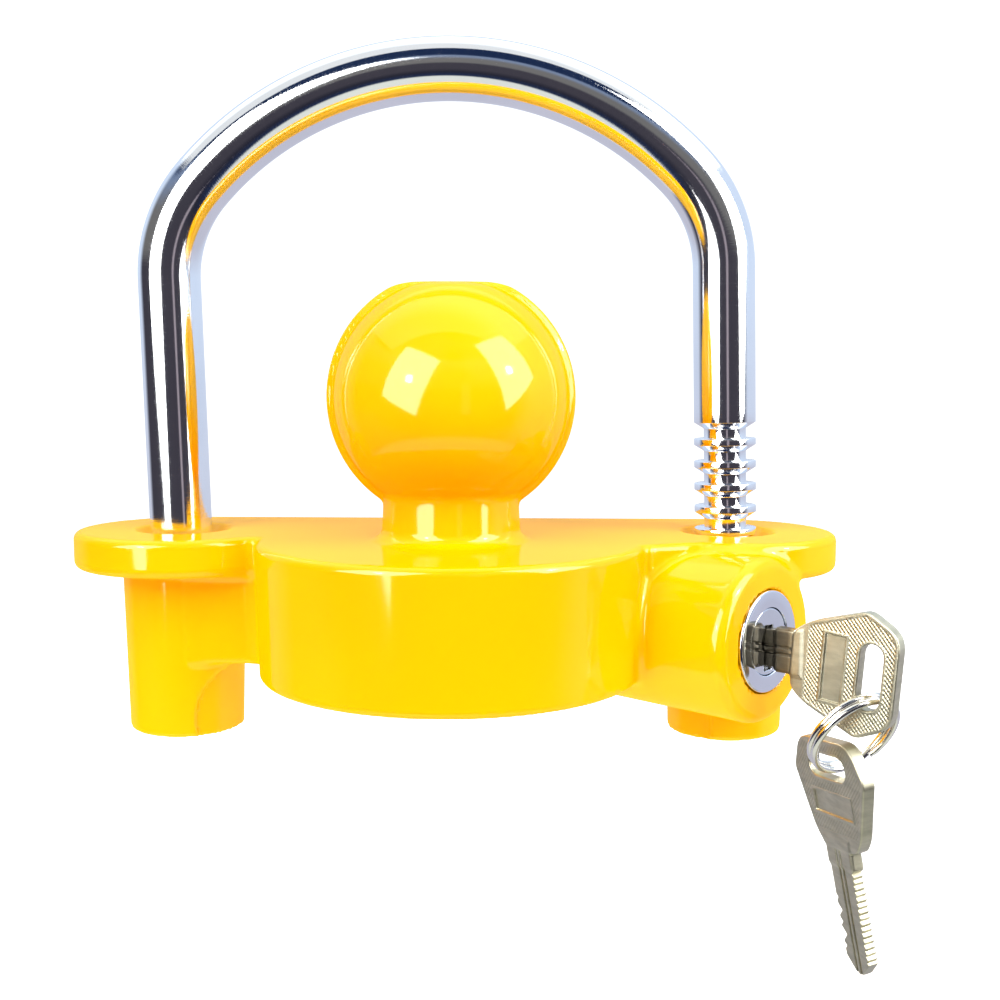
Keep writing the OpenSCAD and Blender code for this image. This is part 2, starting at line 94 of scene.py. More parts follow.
def surface(field, low, high, step):
    """Points, faces and outward normals of the field's zero surface, by surface nets.

    Only blocks near the surface are sampled finely, and every point is then moved onto the surface."""
    low, high = np.array(low, float), np.array(high, float)
    block = 4
    cells = np.ceil((high - low) / (step * block)).astype(int)
    centres = [low[k] + (np.arange(cells[k]) + 0.5) * block * step for k in range(3)]
    grid = np.stack(np.meshgrid(*centres, indexing="ij"), -1).reshape(-1, 3)
    coarse = field(grid).reshape(cells)
    near = np.abs(coarse) < block * step * 1.5
    size = cells * block
    values = np.repeat(np.repeat(np.repeat(coarse, block, 0), block, 1), block, 2)
    fine = np.repeat(np.repeat(np.repeat(near, block, 0), block, 1), block, 2)
    where = np.argwhere(fine)
    values[fine] = field(low + (where + 0.5) * step)
    inside = values < 0
    n = size - 1

    def corner(a, i, j, k):
        return a[i:i + n[0], j:j + n[1], k:k + n[2]]

    count = np.zeros(n, np.int8)
    for i in (0, 1):
        for j in (0, 1):
            for k in (0, 1):
                count += corner(inside, i, j, k)
    active = (count > 0) & (count < 8)
    cell = np.argwhere(active)
    number = np.full(n, -1, np.int64)
    number[active] = np.arange(len(cell))
    total = np.zeros((len(cell), 3))
    crossings = np.zeros(len(cell))
    for axis in range(3):
        others = [k for k in range(3) if k != axis]
        for p in (0, 1):
            for q in (0, 1):
                a = cell.copy()
                a[:, others[0]] += p
                a[:, others[1]] += q
                b = a.copy()
                b[:, axis] += 1
                va, vb = values[tuple(a.T)], values[tuple(b.T)]
                hit = (va < 0) != (vb < 0)
                t = np.where(hit, va / np.where(hit, va - vb, 1), 0)
                point = a + 0.5
                point[:, axis] += t
                total += point * hit[:, None]
                crossings += hit
    points = low + total / crossings[:, None] * step
    faces = []
    for axis in range(3):
        u, v = (axis + 1) % 3, (axis + 2) % 3
        a = [slice(1, n[k]) for k in range(3)]
        a[axis] = slice(0, n[axis])
        b = list(a)
        b[axis] = slice(1, n[axis] + 1)
        ia, ib = inside[tuple(a)], inside[tuple(b)]
        edge = np.argwhere(ia != ib)
        leaving = ia[tuple(edge.T)]
        base = edge + 1
        base[:, axis] -= 1
        quad = []
        for du, dv in ((0, 0), (1, 0), (1, 1), (0, 1)):
            c = base.copy()
            c[:, u] -= 1 - du
            c[:, v] -= 1 - dv
            quad.append(number[tuple(c.T)])
        quad = np.stack(quad, 1)
        faces.append(np.where(leaving[:, None], quad, quad[:, ::-1]))
    faces = np.concatenate(faces)
    for _ in range(4):
        value, slope = field_and_slope(field, points)
        length = np.maximum((slope * slope).sum(1), 0.05)
        move = slope * (value / length)[:, None]
        points -= np.clip(move, -step * 0.5, step * 0.5)
    slope = field_and_slope(field, points)[1]
    normals = slope / np.maximum(np.linalg.norm(slope, axis=1), 1e-9)[:, None]
    return points, faces, normals


def field_and_slope(field, points, h=0.02):
    value = field(points)
    slope = np.stack([
        (field(points + h * np.eye(3)[k]) - field(points - h * np.eye(3)[k])) / (2 * h)
        for k in range(3)
    ], 1)
    return value, slope


def mesh_object(name, points, faces, normals=None):
    """A mesh object from points in millimetres in the row frame."""
    mesh = bpy.data.meshes.new(name)
    mesh.from_pydata((np.asarray(points) * MM).tolist(), [], [list(map(int, f)) for f in faces])
    mesh.validate()
    mesh.polygons.foreach_set("use_smooth", [True] * len(mesh.polygons))
    if normals is not None:
        mesh.normals_split_custom_set_from_vertices(np.asarray(normals).tolist())
    ob = bpy.data.objects.new(name, mesh)
    bpy.context.scene.collection.objects.link(ob)
    return ob


# ---------- where things are ----------

joints = {j["name"]: j for j in frame["joints"]}
face_at = np.array(joints["plug_turn"]["pos_m"]) / MM
lock_z = np.array(joints["plug_turn"]["axis"])
lock_z = lock_z / np.linalg.norm(lock_z)
lock_y = np.array([0.0, 0.0, 1.0])
lock_x = np.cross(lock_y, lock_z)


def to_lock(p):
    """Across, up and out of the lock's face."""
    d = p - face_at
    return d @ lock_x, d @ lock_y, d @ lock_z


# ---------- the casting ----------

body_low, body_high = (np.array(c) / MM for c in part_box("lock_body"))
BALL_R, BAND_R, BAND_HALF, FLAT_Z = 21.7, 23.0, 1.9, 21.17
NECK_R, NECK_FLARE, NECK_FLARE_Z, NECK_FOOT_Z = 12.6, 0.05, -19, -28
DECK_Z, DRUM_H, DRUM_R, DRUM_FOOT_R = -26.4, 25.0, 36.2, 35.6
DRUM_FOOT_Z = DECK_Z - DRUM_H
REAR_Y = body_high[1]
LEG_X, LEG_Y, LOBE_R, WING_T = 54.0, 15.0, 20.9, 7.1
SHELF_MID_Y, SHELF_HALF_W = 30, 15
BOSS_X, BOSS_FOOT_Z, BOSS_R, BOSS_FOOT_R = 53.5, body_low[2], 12.5, 11.5
WEB_X, WEB_HALF_W, WEB_SET_BACK = 40.5, 9.5, 0.55
RELIEF_X, RELIEF_Z, RELIEF_R, RELIEF_DEPTH = 38, -62.5, 11.7, 0.8
HOUSING_R, HOUSING_L = 15, 34
SHOULDER, SHOULDER_FOOT_Z = [(30, -4), (36.4, -7.6), (45.4, -4.2), (50, 8), (30, 8)], -41
HOLLOW_R, HOLLOW_ROOF_Z, HUB_R, RIB_HALF_T = 30, -32, 12.7, 2
LEG_BORE_R, SINK_W = 6.9, 2.3
FACE_RECESS_R, FACE_RECESS_L, LOCK_BORE_R, LOCK_BORE_L = 9.4, 1.3, 7.85, 26.4
DOG_Y, DOG_Z, DOG_BORE_R, DOG_BORE_FROM, DOG_BORE_TO = 0.7, -22.5, 3.15, -13.2, 34
PIN_X, PIN_Z, PIN_BORE_R, PIN_BORE_TOP, PIN_BORE_L = 7.75, -9, 1.27, 3, 20


def casting(p):
    """The yellow casting. The last value of each join and cut is the radius of its fillet."""
    x, y, z = p[:, 0], p[:, 1], p[:, 2]
    side = np.abs(x)
    r = np.hypot(x, y)
    # the round middle, the walls to the bosses and the wings
    taper = (DRUM_R - DRUM_FOOT_R) / DRUM_H
    solid = r - DRUM_R + taper * (DECK_Z - z)
    from_leg = np.hypot(side - BOSS_X, y - LEG_Y)
    down = (DECK_Z - z) / (DECK_Z - BOSS_FOOT_Z)
    boss_r = BOSS_R + (BOSS_FOOT_R - BOSS_R) * down
    web = np.maximum(np.abs(side - WEB_X) - WEB_HALF_W, np.abs(y - LEG_Y) - boss_r + WEB_SET_BACK)
    solid = join(solid, web, 4.5)
    solid = cut(solid, DRUM_FOOT_Z - z, 1.0)
    lobe = np.hypot(side - LEG_X, y - LEG_Y) - LOBE_R
    shelf = np.maximum(side - LEG_X, np.abs(y - SHELF_MID_Y) - SHELF_HALF_W)
    wing = cut(np.minimum(lobe, shelf), DECK_Z - WING_T - z, 1.5)
    solid = join(solid, wing, 2.5)
    boss = cut(from_leg - boss_r, BOSS_FOOT_Z - z, 1.0)
    relief = np.hypot(side - RELIEF_X, z - RELIEF_Z) - RELIEF_R
    relief = np.maximum(boss_r - RELIEF_DEPTH - from_leg, relief)
    boss = cut(boss, -np.maximum(relief, -y), 0.35)
    solid = join(solid, boss, 1.6)
    # the lock's housing and the shoulder above it
    lx, ly, lz = to_lock(p)
    lock_r = np.hypot(lx, ly)
    housing = np.maximum(cut(lock_r - HOUSING_R, lz, 2.2), -HOUSING_L - lz)
    shoulder = np.maximum(polygon_field(SHOULDER, x, y), SHOULDER_FOOT_Z - z)
    solid = join(solid, join(housing, shoulder, 1.2), 2.0)
    solid = cut(solid, y - REAR_Y, 1.4)
    solid = cut(solid, z - DECK_Z, 1.4)
    # ball and neck
    rho = np.sqrt(r * r + z * z)
    band = cut(rho - BAND_R, np.abs(y) - BAND_HALF, 0.9)
    ball = cut(join(rho - BALL_R, band, 0.7), z - FLAT_Z, 1.3)
    flare = NECK_FLARE * np.maximum(NECK_FLARE_Z - z, 0)
    neck = np.maximum(r - NECK_R - flare, np.maximum(z, NECK_FOOT_Z - z))
    solid = join(solid, join(ball, neck, 0.7), 2.2)
    # hollow underside with its hub and ribs
    hollow = cut(r - HOLLOW_R, z - HOLLOW_ROOF_Z, 2.0)
    rib = np.minimum(np.abs(x - y), np.abs(x + y)) / math.sqrt(2) - RIB_HALF_T
    hollow = cut(hollow, -join(r - HUB_R, rib, 2.0), 1.2)
    solid = cut(solid, -hollow, 0.9)
    # bores for the legs, the lock, its dog and its retaining pin
    bore = np.hypot(side - LEG_X, y - LEG_Y) - LEG_BORE_R
    sink = np.maximum((bore - (z - DECK_Z + SINK_W)) / math.sqrt(2), z - DECK_Z - 3)
    bore = np.maximum(np.minimum(bore, sink), z - DECK_Z - 4)
    solid = cut(solid, -bore, 0.4)
    recess = np.maximum(lock_r - FACE_RECESS_R, -FACE_RECESS_L - lz)
    barrel = np.maximum(lock_r - LOCK_BORE_R, -LOCK_BORE_L - lz)
    dog = np.hypot(ly - DOG_Y, lz - DOG_Z) - DOG_BORE_R
    dog = np.maximum(dog, np.maximum(DOG_BORE_FROM - lx, lx - DOG_BORE_TO))
    pin = np.hypot(lx - PIN_X, lz - PIN_Z) - PIN_BORE_R
    pin = np.maximum(pin, np.maximum(ly - PIN_BORE_TOP, -PIN_BORE_L - ly))
    solid = cut(solid, -recess, 0.3)
    return cut(solid, -np.minimum(np.minimum(barrel, dog), pin), 0.2)


CAST_STEP, CAST_MARGIN = 0.76, 2.1
body = mesh_object("casting", *surface(casting, body_low - CAST_MARGIN, body_high + CAST_MARGIN, CAST_STEP))


# ---------- lathe and sweep ----------

def rounded_profile(points, radii, steps=5):
    """An open or closed (r, z) outline whose corners are rounded, as a list of points."""
    out = []
    n = len(points)
    for i, (p, radius) in enumerate(zip(points, radii)):
        p = np.array(p, float)
        if radius <= 0:
            out.append(p)
            continue
        a = np.array(points[i - 1], float) - p
        b = np.array(points[(i + 1) % n], float) - p
        a, b = a / np.linalg.norm(a), b / np.linalg.norm(b)
        half = math.acos(np.clip(a @ b, -1, 1)) / 2
        reach = radius / math.tan(half)
        centre = p + (a + b) / np.linalg.norm(a + b) * radius / math.sin(half)
        s, e = p + a * reach - centre, p + b * reach - centre
        turn = math.atan2(s[0] * e[1] - s[1] * e[0], s @ e)
        for k in range(steps + 1):
            t = turn * k / steps
            c, d = math.cos(t), math.sin(t)
            out.append(centre + np.array([s[0] * c - s[1] * d, s[0] * d + s[1] * c]))
    return out


def rings_mesh(name, rings, closed, uv=None):
    """A mesh from rings of points that share one count.

    Closed joins the last ring to the first, else both ends are capped."""
    n = len(rings[0])
    points = np.concatenate(rings)
    faces = []
    count = len(rings)
    for i in range(count if closed else count - 1):
        a, b = i * n, ((i + 1) % count) * n
        for j in range(n):
            k = (j + 1) % n
            faces.append((a + j, a + k, b + k, b + j))
    if not closed:
        faces.append(tuple(range(n))[::-1])
        faces.append(tuple(range((count - 1) * n, count * n)))
    ob = mesh_object(name, points, faces)
    if uv is not None:
        layer = ob.data.uv_layers.new(name="rod")
        for poly in ob.data.polygons:
            for loop in poly.loop_indices:
                v = ob.data.loops[loop].vertex_index
                ring, k = divmod(v, n)
                u = k / n
                if len(poly.vertices) == 4 and k == 0 and max(w % n for w in poly.vertices) == n - 1:
                    u = 1.0
                layer.data[loop].uv = (u, uv[ring])
    return ob


def lathe(name, profile, frame_axes, sides=96, sharp_deg=35):
    """A closed (r, z) profile turned about the third axis of frame_axes = (origin, x, y, z)."""
    origin, ax, ay, az = frame_axes
    turns = [2 * math.pi * k / sides for k in range(sides)]
    rings = []
    for t in turns:
        out = math.cos(t) * ax + math.sin(t) * ay
        rings.append(np.array([origin + r * out + z * az for r, z in profile]))
    ob = rings_mesh(name, rings, True)
    mark_sharp(ob, sharp_deg)
    return ob


def mark_sharp(ob, degrees):
    ob.data.set_sharp_from_angle(angle=math.radians(degrees))


lock_frame = (face_at, lock_x, lock_y, lock_z)

# ---------- the shackle ----------

lean = math.asin(-joints["shackle_slide"]["axis"][0])
LEAN_PIVOT = np.array([0, LEG_Y, -44.0])
ROD_R, SHOULDER_R, ARCH_R, APEX_Z = 6.0, 27.0, 63.8, 62.5
LEG_TIP_Z = DECK_Z - 26
TIP_CHAMFER = 1.4
RING_PITCH, RING_LAND, RING_CONE, ROOT_R, FIRST_LAND_Z, GROOVES = 4.4, 1.25, 1.2, 4.1, -9.5, 10
shoulder_turn = math.acos((LEG_X - SHOULDER_R) / (ARCH_R - SHOULDER_R))
arch_z = APEX_Z - ARCH_R
shoulder_z = arch_z + (ARCH_R - SHOULDER_R) * math.sin(shoulder_turn)


def ratchet_profile():
    """(radius, z) down the right leg, from above its first groove to its tip."""
    points, radii = [], []
    for i in range(GROOVES):
        land = FIRST_LAND_Z - i * RING_PITCH
        root_top = land + RING_PITCH - RING_LAND - RING_CONE
        points += [(ROD_R, root_top + RING_CONE), (ROOT_R, root_top), (ROOT_R, land), (ROD_R, land)]
        radii += [0.12, 0.3, 0.15, 0.14]
    points += [(ROD_R, LEG_TIP_Z + TIP_CHAMFER), (ROD_R - TIP_CHAMFER, LEG_TIP_Z)]
    radii += [0.3, 0.3]
    whole = [(ROD_R, points[0][1] + 8)] + points + [(0, LEG_TIP_Z)]
    return rounded_profile(whole, [0] + radii + [0], 3)[1:-1]


def rod_centreline():
    """(x, z, radius) along the rod, from the right leg's tip to the left leg's."""
    path = [(LEG_X, z, r) for r, z in reversed(ratchet_profile())]
    top = path[-1][1]
    path += [(LEG_X, z, ROD_R) for z in np.linspace(top, shoulder_z, 16)[1:-1]]
    for a in np.linspace(0, shoulder_turn, 22):
        x = LEG_X - SHOULDER_R + SHOULDER_R * math.cos(a)
        path.append((x, shoulder_z + SHOULDER_R * math.sin(a), ROD_R))
    for a in np.linspace(shoulder_turn, math.pi / 2, 40)[1:]:
        path.append((ARCH_R * math.cos(a), arch_z + ARCH_R * math.sin(a), ROD_R))
    path += [(-x, z, ROD_R) for x, z, r in path[::-1] if z > -1][1:]
    path += [(-LEG_X, z, ROD_R) for z in np.linspace(-3, LEG_TIP_Z + TIP_CHAMFER + 0.3, 24)]
    path.append((-LEG_X, LEG_TIP_Z + TIP_CHAMFER, ROD_R - 0.05))
    path.append((-LEG_X, LEG_TIP_Z + 0.2, ROD_R - TIP_CHAMFER + 0.18))
    path.append((-LEG_X, LEG_TIP_Z, ROD_R - TIP_CHAMFER - 0.2))
    return path


def leaned(points):
    """Points turned about the lean's pivot, in the plane of the shackle."""
    c, s = math.cos(lean), math.sin(lean)
    x, y, z = (points - LEAN_PIVOT).T
    return np.stack([x * c - z * s, y, x * s + z * c], 1) + LEAN_PIVOT


def build_shackle():
    path = rod_centreline()
    sides = 72
    rings, along, travelled = [], [], 0.0
    previous = None
    for i, (x, z, r) in enumerate(path):
        before = path[max(i - 1, 0)]
        after = path[min(i + 1, len(path) - 1)]
        dx, dz = after[0] - before[0], after[1] - before[1]
        if abs(x) >= LEG_X - 1e-6:
            dx = 0.0
        if dx == 0 and dz == 0:
            dz = 1.0 if x > 0 else -1.0
        length = math.hypot(dx, dz)
        out = np.array([dz / length, 0, -dx / length])
        across = np.array([0, 1.0, 0])
        ring = []
        for k in range(sides):
            t = 2 * math.pi * k / sides
            ring.append(np.array([x, LEG_Y, z]) + r * (math.cos(t) * out + math.sin(t) * across))
        if previous is not None:
            travelled += math.dist(previous, (x, z, r))
        previous = (x, z, r)
        rings.append(leaned(np.array(ring)))
        along.append(travelled)
    return rings_mesh("shackle_rod", rings, False, [a / (2 * math.pi * ROD_R) for a in along])


shackle = build_shackle()
mark_sharp(shackle, 40)

# ---------- the lock's face and plug ----------

FACE_R, FACE_BACK, FACE_FRONT, BARREL_R, BARREL_BACK, SHELL_BORE_R = 9.25, -1.3, 0.3, 7.75, -15.6, 6.16
WAFER_ROOM_R, WAFER_ROOM_Z = 6.95, -1.6
shell = lathe("lock_face", rounded_profile(
    [(SHELL_BORE_R, FACE_FRONT), (FACE_R, FACE_FRONT), (FACE_R, FACE_BACK), (BARREL_R, FACE_BACK),
     (BARREL_R, BARREL_BACK), (WAFER_ROOM_R, BARREL_BACK), (WAFER_ROOM_R, WAFER_ROOM_Z),
     (SHELL_BORE_R, WAFER_ROOM_Z)],
    [0.16, 0.4, 0.1, 0.1, 0.3, 0.1, 0.1, 0.1]), lock_frame, 128)

PLUG_R, PLUG_BACK, PLUG_FRONT = 6.05, -17.9, 0.1
CLIP_GROOVE_R, CLIP_GROOVE_Z, CLIP_GROOVE_HALF_W = 5.2, -16.95, 0.45
KEYWAY_Y, KEYWAY_HALF_H, KEYWAY_HALF_W = -1.0, 3.65, 1.15
ENTRY_Y, ENTRY_HALF_H, ENTRY_HALF_W, ENTRY_DEPTH = -1.15, 4.05, 1.3, 0.9
DIMPLE_R, DIMPLE_Z = 3.0, 2.1
WAFER_FIRST_Z, WAFER_PITCH, WAFER_SLOT_HALF_T, WAFER_SLOT_HALF_W = -4.2, 2.2, 0.45, 2.4
ARM_REACH, ARM_Y, ARM_SLOT_HALF_H = 4.4, 2.6, 0.95
SPRING_X, SPRING_ROOM_R, SPRING_ROOM_HALF_H = 3.4, 0.72, 2.5


def plug(p):
    """The plug in the lock's frame, its keyway upright."""
    x, y, z = p[:, 0], p[:, 1], p[:, 2]
    solid = cut(np.hypot(x, y) - PLUG_R, np.maximum(z - PLUG_FRONT, PLUG_BACK - z), 0.25)
    clip = np.maximum(CLIP_GROOVE_R - np.hypot(x, y), np.abs(z - CLIP_GROOVE_Z) - CLIP_GROOVE_HALF_W)
    solid = np.maximum(solid, -clip)
    keyway = np.maximum(np.abs(x) - KEYWAY_HALF_W, np.abs(y - KEYWAY_Y) - KEYWAY_HALF_H)
    entry = np.maximum(np.abs(y - ENTRY_Y) - ENTRY_HALF_H, -ENTRY_DEPTH - z)
    entry = np.maximum(np.abs(x) - ENTRY_HALF_W, entry)
    dimple = np.sqrt(x * x + y * y + (z - DIMPLE_Z) ** 2) - DIMPLE_R
    solid = cut(solid, -np.minimum(np.minimum(keyway, entry), dimple), 0.15)
    for i in range(5):
        side = x if i % 2 == 0 else -x
        along = z - WAFER_FIRST_Z + WAFER_PITCH * i
        slot = np.abs(x) - WAFER_SLOT_HALF_W
        arm = np.maximum(np.maximum(-side, side - ARM_REACH), np.abs(y - ARM_Y) - ARM_SLOT_HALF_H)
        spring = np.maximum(np.hypot(side - SPRING_X, along) - SPRING_ROOM_R, np.abs(y) - SPRING_ROOM_HALF_H)
        across = np.maximum(np.minimum(slot, arm), np.abs(along) - WAFER_SLOT_HALF_T)
        solid = np.maximum(solid, -np.minimum(across, spring))
    return solid


def in_lock(points, normals):
    axes = np.stack([lock_x, lock_y, lock_z])
    return face_at + points @ axes, normals @ axes


PLUG_STEP = 0.2
points, faces, normals = surface(plug, (-6.6, -6.6, -18.5), (6.6, 6.6, 0.7), PLUG_STEP)
points, normals = in_lock(points, normals)
plug_ob = mesh_object("plug_core", points, faces, normals)

# ---------- the keys ----------

BOW_HALF_T, BLADE_HALF_T, BLADE_Y, BOW_DROP, BOW_GAP = 1.2, 1.0, -1.0, -2.0, 6.2
BOW_EDGES = [(-0.75, 4.9), (1.5, 7.05), (12.5, 11.1), (17.5, 8.6), (18.8, 6.6), (18.8, 0)]
SLOT_AT, SLOT_R, SLOT_HALF_H = 14.0, 2.15, 5.75
LABEL_AT, LABEL_HALF_W, LABEL_HALF_H = 7.2, 1.9, 5.9
KNURL_PITCH, KNURL_RISE = 0.58, 0.045
KNURL_FROM, RIM_W, KNURL_FADE = 2.0, 0.55, 0.3
BLADE_L, BLADE_HALF_H, TIP_L, TIP_HALF_H = 23.5, 3.5, 2.6, 0.8
WAFERS_AT = [WAFER_FIRST_Z - WAFER_PITCH * i - BOW_GAP for i in range(5)]
NOTCHES = [0.5, 1.1, 0.7, 1.3, 0.6]
TOOTH_PITCH, TOOTH_H, TEETH_FROM, TEETH_DEPTH = 1.05, 0.9, -4.4, 0.42
GROOVE_Y, GROOVE_HALF_W, GROOVE_DEPTH, GROOVE_FROM = 0.62, 0.33, 0.5, -0.6
COLLAR_HALF_H, COLLAR_AT, COLLAR_HALF_L = 3.95, -1.5, 2.5
key_cant = math.radians(4.5)


def smooth(t):
    t = np.clip(t, 0, 1)
    return t * t * (3 - 2 * t)


def bow_outline(a, b):
    """Distance to the bow's flat outline, a along the key and b across it."""
    d = BOW_EDGES[0][0] - a
    h = np.abs(b)
    for (a0, b0), (a1, b1) in zip(BOW_EDGES, BOW_EDGES[1:]):
        length = math.hypot(a1 - a0, b1 - b0)
        d = cut(d, ((a - a0) * (b0 - b1) + (h - b0) * (a1 - a0)) / length, 0.8)
    return d


def key_field(cant):
    """A key whose bow is canted against its blade."""
    def field(p):
        c, b, a = p[:, 0], p[:, 1], p[:, 2]
        bb, ba = b - BOW_DROP, a
        bb, ba = bb * math.cos(cant) + ba * math.sin(cant), ba * math.cos(cant) - bb * math.sin(cant)
        rim = bow_outline(ba, bb)
        slot = np.hypot(ba - SLOT_AT, np.maximum(np.abs(bb) - SLOT_HALF_H + SLOT_R, 0)) - SLOT_R
        label = np.maximum(np.abs(ba - LABEL_AT) - LABEL_HALF_W, np.abs(bb) - LABEL_HALF_H)
        s1, s2 = (ba + bb) / math.sqrt(2), (ba - bb) / math.sqrt(2)
        wave = (np.cos(2 * math.pi * s1 / KNURL_PITCH) + np.cos(2 * math.pi * s2 / KNURL_PITCH)) / 2
        mask = smooth((-rim - RIM_W) / KNURL_FADE) * smooth((slot - 0.35) / KNURL_FADE)
        mask = mask * smooth((label - 0.35) / 0.25)
        mask = mask * smooth((ba - KNURL_FROM) / KNURL_FADE)
        frame_line = smooth((0.35 - np.abs(label - 0.18)) / 0.2)
        sunk = 0.28 * smooth((0.05 - label) / 0.2)
        half = BOW_HALF_T - mask * KNURL_RISE * (1 - wave) - sunk + 0.04 * frame_line
        bow = cut(rim, np.abs(c) - half, 0.28)
        bow = cut(bow, -slot, 0.25)
        # the blade with its grooves, cuts and serrated edge
        tip = np.maximum(TIP_HALF_H + (a + BLADE_L) * (BLADE_HALF_H - TIP_HALF_H) / TIP_L, TIP_HALF_H)
        v = b - BLADE_Y
        h = np.abs(v)
        edge = np.minimum(BLADE_HALF_H, tip)
        blade = np.maximum(np.maximum(h - edge, a), -BLADE_L - a)
        for at, depth in zip(WAFERS_AT, NOTCHES):
            blade = np.maximum(blade, (v - BLADE_HALF_H + depth - np.abs(a - at)) / math.sqrt(2))
        teeth = np.abs((a / TOOTH_PITCH) % 1 - 0.5) * TOOTH_H
        low_edge = np.where((a < TEETH_FROM) & (v < 0), BLADE_HALF_H - TEETH_DEPTH + teeth, 99)
        blade = np.maximum(blade, (h - low_edge) * 0.75)
        groove = np.minimum(np.abs(v - GROOVE_Y), np.abs(v + GROOVE_Y)) - GROOVE_HALF_W
        groove_depth = np.where(a < GROOVE_FROM, GROOVE_DEPTH, GROOVE_DEPTH + (a - GROOVE_FROM))
        half_t = BLADE_HALF_T - groove_depth * smooth(-groove / 0.2)
        blade = cut(blade, np.abs(c) - half_t, 0.12)
        collar = np.maximum(np.abs(v) - COLLAR_HALF_H, np.abs(a - COLLAR_AT) - COLLAR_HALF_L)
        collar = cut(collar, np.abs(c) - BLADE_HALF_T, 0.3)
        return join(join(bow, blade, 0.35), collar, 0.8)
    return field


KEY_STEP, KEY_LOW, KEY_HIGH = 0.14, (-1.7, -14.2, -24.2), (1.7, 10.2, 20.5)


def build_key(name, cant, axes, origin):
    points, faces, normals = surface(key_field(cant), KEY_LOW, KEY_HIGH, KEY_STEP)
    return mesh_object(name, origin + points @ axes, faces, normals @ axes)


key = build_key("key_in_lock", key_cant, np.stack([lock_x, lock_y, lock_z]), face_at + BOW_GAP * lock_z)


def turned(degrees):
    """The turn by three angles about X, then Y, then Z."""
    ax, ay, az = (math.radians(v) for v in degrees)
    return np.array(Matrix.Rotation(az, 3, "Z") @ Matrix.Rotation(ay, 3, "Y") @ Matrix.Rotation(ax, 3, "X"))


def centre_of(node):
    low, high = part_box(node)
    return np.array((low + high) / 2) / MM


SPARE_TURN, RING_TURN = (-7.1, -8.6, 19.1), (0, 59.4, 116.9)
spare_axes = turned(SPARE_TURN).T
spare = build_key("key_on_ring", 0.0, spare_axes, -BOW_DROP * spare_axes[1])
co = np.array([v.co for v in spare.data.vertices]) / MM
shift = centre_of("spare_key") - (co.min(0) + co.max(0)) / 2
for v in spare.data.vertices:
    v.co += Vector(shift * MM)

# ---------- the split ring ----------

RING_R, WIRE_R, COIL_STEP, WIRE_END = 8.2, 0.62, 1.22, 320.0
ring_axes = turned(RING_TURN).T
ring_centre = centre_of("key_ring")


def build_ring():
    rings = []
    count, sides = 220, 16
    ex, ey, ez = ring_axes
    turns = 2 * 360 - 6.0
    for i in range(count + 1):
        f = i / count
        angle = math.radians(WIRE_END + turns * f)
        height = COIL_STEP * (0.5 - smooth((f - 0.44) / 0.12))
        out = math.cos(angle) * ex + math.sin(angle) * ey
        end = min(f, 1 - f) * count
        r = WIRE_R * (0.82 if end < 1 else 0.95 if end < 2 else 1.0)
        centre = ring_centre + RING_R * out + height * ez
        rings.append(np.array([
            centre + r * (math.cos(2 * math.pi * k / sides) * out + math.sin(2 * math.pi * k / sides) * ez)
            for k in range(sides)
        ]))
    return rings_mesh("split_ring", rings, False)


ring = build_ring()
mark_sharp(ring, 50)

# ---------- springs ----------

def coil(name, centre, axes, r, wire, length, turns, sides=8):
    """A wound spring along the third axis, centred on centre."""
    ex, ey, ez = axes
    per_turn = 20
    rings = []
    for i in range(int(turns * per_turn) + 1):
        f = i / (turns * per_turn)
        t = 2 * math.pi * turns * f
        out = math.cos(t) * ex + math.sin(t) * ey
        at = centre + r * out + ((f - 0.5) * (length - 2 * wire)) * ez
        rings.append(np.array([
            at + wire * (math.cos(2 * math.pi * k / sides) * out + math.sin(2 * math.pi * k / sides) * ez)
            for k in range(sides)
        ]))
    return rings_mesh(name, rings, False)


spring_axes, dog_axes = (lock_x, lock_z, lock_y), (lock_y, lock_z, lock_x)
coils = []
for i in range(1, 6):
    node = f"wafer_spring_{i}"
    wound = coil(node + "_coil", centre_of(node), spring_axes, r=0.48, wire=0.12, length=4.3, turns=7)
    coils.append((wound, node, "plug"))
wound = coil("dog_spring_coil", centre_of("dog_spring"), dog_axes, r=1.65, wire=0.25, length=7.8, turns=6)
coils.append((wound, "dog_spring", "body"))

# ---------- materials ----------

